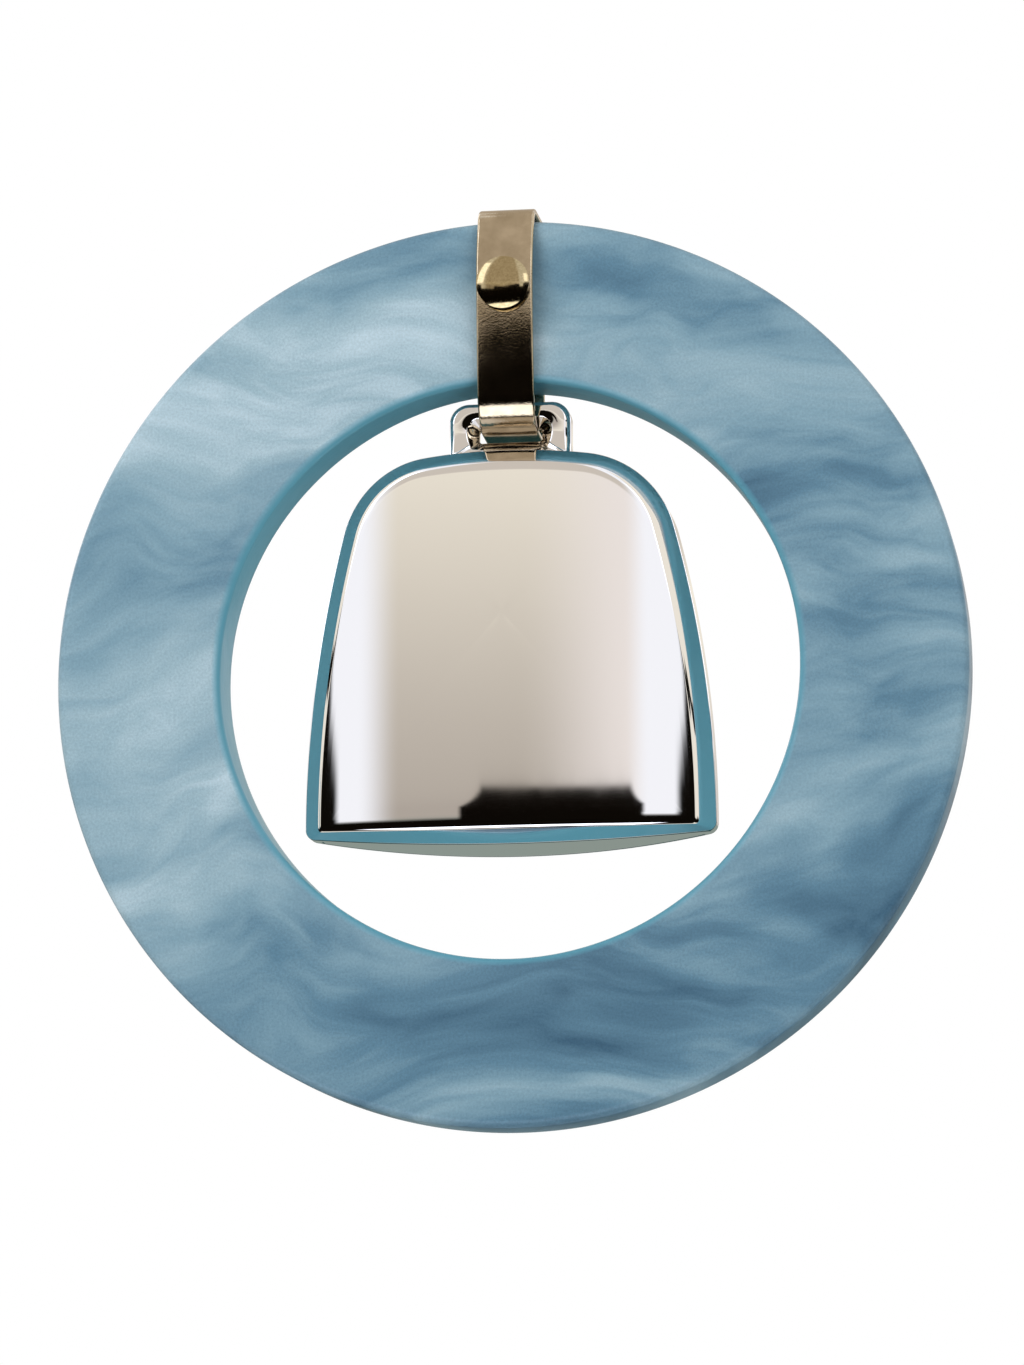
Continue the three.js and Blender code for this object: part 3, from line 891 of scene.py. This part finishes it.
class Sky(Tree):
    """The studio round the object: cards painted by direction on a ground colour, alike at the front and
    the back unless they are for the front only. Angles are in degrees."""

    def __init__(self, ground):
        world = bpy.data.worlds.new("studio")
        world.use_nodes = True
        bpy.context.scene.world = world
        super().__init__(world.node_tree)
        self.background = self.tree.nodes["Background"]
        direction = self.add("ShaderNodeTexCoord").outputs["Generated"]
        x, y, z = self.feed(self.add("ShaderNodeSeparateXYZ"), Vector=direction).outputs
        self.azimuth = self.math("DEGREES", self.math("ARCTAN2", x, self.math("ABSOLUTE", y)))
        self.elevation = self.math("DEGREES", self.math("ARCSINE", z))
        self.front = self.step(self.math("MULTIPLY", y, -1.0), edge=0.0, softness=0.1)
        self.colour = ground

    def step(self, value, edge, softness):
        """0 below the edge and 1 above it."""
        node = self.add("ShaderNodeMapRange", interpolation_type="SMOOTHSTEP")
        self.feed(node, Value=value, From_Min=edge - softness / 2, From_Max=edge + softness / 2)
        return node.outputs["Result"]

    def within(self, mask, value, limits, softness):
        """The mask, cut off where the value is past its limits; a limit of 90 either way is none."""
        low, high = limits
        if low > -90:
            mask = self.math("MULTIPLY", mask, self.step(value, low, softness))
        if high < 90:
            below = self.math("SUBTRACT", 1.0, self.step(value, high, softness))
            mask = self.math("MULTIPLY", mask, below)
        return mask

    def card(self, colour, azimuths=(-90, 90), elevations=(-90, 90), softness=(2, 2), front_only=False):
        """Paints a card between two azimuths and two elevations over what is there."""
        mask = self.front if front_only else 1.0
        mask = self.within(mask, self.azimuth, azimuths, softness[0])
        mask = self.within(mask, self.elevation, elevations, softness[1])
        self.colour = self.mix(mask, self.colour, colour)

    def finish(self):
        """Matt surfaces are lit by an even soft light, and the camera itself sees plain white."""
        path = self.add("ShaderNodeLightPath")
        for ray, colour in (("Is Diffuse Ray", SOFT), ("Is Camera Ray", (1, 1, 1))):
            self.colour = self.mix(path.outputs[ray], self.colour, colour)
        self.feed(self.background, Color=self.colour)


def add_floor_cards(sky):
    """What mirrors that face down see."""
    sky.card(TEAL, elevations=(-40, -11.5), softness=(2, 1))
    sky.card(PALE, elevations=(-90, -30), softness=(8, 3), front_only=True)
    sky.card(PALE, elevations=(-90, -45), softness=(8, 3))
    sky.card(GLARE, azimuths=(-55, 38), elevations=(-62, DARK_FOOT), softness=(8, 3), front_only=True)
    sky.card(BLACK, elevations=(-90, -62), softness=(2, 6))


def add_wall_cards(sky):
    """The pale room that the bell's face and the strap mirror, with bright strips beside it."""
    sky.card(DUSK, elevations=(4, 90), softness=(2, 5))
    sky.card(IVORY, elevations=(11.8, 90), softness=(2, 7.5))
    sky.card(PEARL, azimuths=(9, 90), elevations=(4, 90), softness=(30, 5))
    sky.card(BEIGE, elevations=(13.6, 90), softness=(2, 0.8))
    sky.card(WHITE, azimuths=(-90, -38), elevations=(4, 75), softness=(11, 2))
    sky.card(WHITE, azimuths=(22, 90), elevations=(4, 75), softness=(6, 2))
    sky.card(GLARE, azimuths=(-62, -42), elevations=(14.2, 50), softness=(4, 2))
    sky.card(GLARE, azimuths=(34, 44), elevations=(14.2, 30), softness=(4, 2))


def add_side_cards(sky):
    """Dark wedges that edge the bell's face, and what its bevels and the loop mirror beyond them."""
    for i in range(WEDGE_STEPS):
        inner = WEDGE_FOOT_AZIMUTH + i
        top = WEDGE_FOOT_TOP + WEDGE_RISE * i
        for azimuths in ((SIDE_LEFT, -inner - WEDGE_SKEW), (inner, SIDE_RIGHT)):
            sky.card(BLACK, azimuths=azimuths, elevations=(-90, top), softness=(2, 1))
    for side in ((-90, SIDE_LEFT), (SIDE_RIGHT, 90)):
        sky.card(CREAM, azimuths=side, elevations=(-90, LOOP_SIGHT), softness=(4, 0.3))
        sky.card(BLACK, azimuths=side, elevations=(LOOP_SIGHT, 60), softness=(4, 0.3))
        sky.card(CREAM, azimuths=side, elevations=(STRAP_SIGHT, 60), softness=(4, 0.5))


def add_dark_cards(sky):
    """The dark band along the foot of the bell's face, with a patch that stands up from it."""
    sky.card(BLACK, elevations=(DARK_FOOT, 4.1), softness=(2, 2), front_only=True)
    for i in range(PATCH_STEPS):
        azimuths = (PATCH_LEFT + PATCH_LEFT_STEP * i, PATCH_RIGHT - PATCH_RIGHT_STEP * i)
        elevations = (DARK_FOOT, PATCH_TOP - PATCH_RISE * (PATCH_STEPS - 1 - i))
        sky.card(BLACK, azimuths, elevations, softness=(1.5, 0.1), front_only=True)


def add_studio():
    sky = Sky(GREY)
    add_floor_cards(sky)
    add_wall_cards(sky)
    add_side_cards(sky)
    add_dark_cards(sky)
    sky.finish()


def add_light(name, place, size, watts):
    """A soft light that points at the ring. It lights matt surfaces only: mirrors show the studio."""
    data = bpy.data.lights.new(name, "AREA")
    data.shape = "RECTANGLE"
    data.size, data.size_y = size
    data.energy = watts
    light = bpy.data.objects.new(name, data)
    bpy.context.collection.objects.link(light)
    light.location = RING_CENTRE + Vector(place)
    light.rotation_euler = (-Vector(place)).to_track_quat("-Z", "Y").to_euler()
    light.visible_glossy = False
    light.visible_camera = False


# ---- The scene ----------------------------------------------------------------------------------------


def settle(piece, body, node):
    """Fixes a piece to its body, and hides the CAD node that it stands for."""
    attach(piece, body)
    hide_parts(node)


def main():
    bpy.context.scene.view_settings.view_transform = "Standard"
    silver = bell_silver()
    settle(make_ring(pearl_plastic()), "ring", "ring")
    settle(make_strap(satin_nickel()), "ring", "strap")
    settle(make_rivet(rivet_nickel()), "ring", "rivet")
    bell = make_bell(silver)
    settle(bell["bell_shell_front"], "bell", "bell_front_shell")
    settle(bell["bell_shell_back"], "bell", "bell_back_shell")
    settle(bell["bell_base_plate"], "bell", "bell_bottom_plate")
    settle(make_loop(silver), "bell", "bell_loop")
    steel = pellet_steel()
    for i in range(1, PELLET_COUNT + 1):
        settle(make_pellet(i, steel), f"pellet_{i}", f"pellet_{i}")
    add_floor()
    add_studio()
    add_light("key", (-0.28, -0.35, 0.32), (0.3, 0.3), 4.0)
    add_light("fill", (0.4, -0.4, -0.05), (0.4, 0.4), 3.0)
    add_light("back", (0.1, 0.5, 0.3), (0.5, 0.4), 5.0)
    add_camera()


main()
